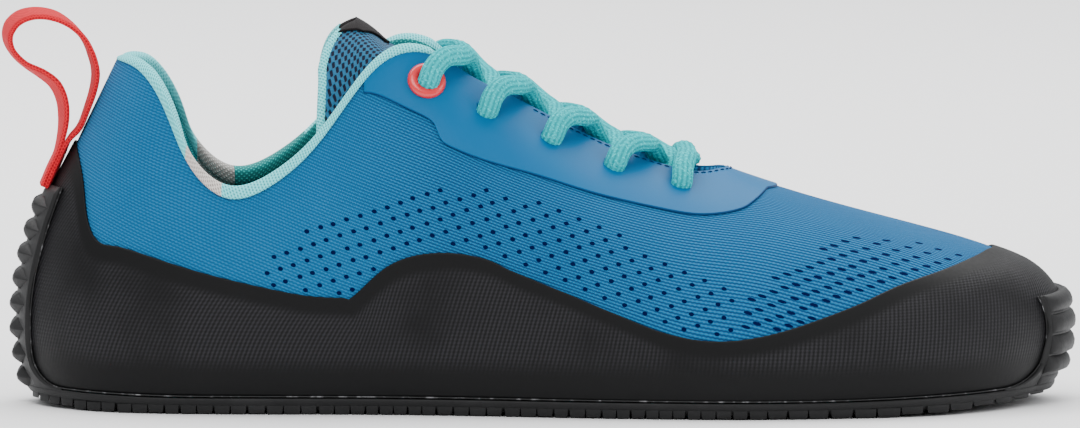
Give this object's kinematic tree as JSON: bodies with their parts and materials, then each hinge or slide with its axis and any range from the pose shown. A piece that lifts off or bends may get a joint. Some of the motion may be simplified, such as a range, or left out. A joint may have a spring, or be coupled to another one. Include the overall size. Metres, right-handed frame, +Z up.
{
  "type": "barefoot shoe",
  "caption": "Low barefoot running shoe, right foot, with knitted upper, wavy rubber rand, thin lugged outsole, film eyestay, crossed lace and heel pull loop.",
  "frame": {"origin": "on the floor under the heel, at the centre of the heel's flat lug, on the shoe's middle line", "axes": "+X from heel to toe, +Y towards the inner (medial) side, +Z up"},
  "size_m": [0.2829, 0.1035, 0.1036],
  "materials": {
    "rubber": "matt moulded rubber",
    "rand_film": "satin rubber film over knit",
    "knit": "fine ribbed knit",
    "film": "smooth satin film",
    "tape": "knitted tape",
    "mesh": "open spacer mesh",
    "label": "woven tape",
    "foam": "foam with knitted top cloth",
    "lace": "braided cord",
    "eyelet": "gloss",
    "webbing": "woven webbing"
  },
  "bodies": {
    "root": {"outsole": "rubber", "rand": "rand_film", "upper": "knit", "eyestay": "film", "collar_binding": "tape", "tongue": "mesh", "tongue_label": "label", "insole": "foam", "lace_cross_1": "lace", "lace_cross_2": "lace", "lace_cross_3": "lace", "lace_cross_4": "lace", "lace_bar_5": "lace", "eyelet_lateral": "eyelet", "eyelet_medial": "eyelet", "pull_loop": "webbing"}
  },
  "joints": []
}
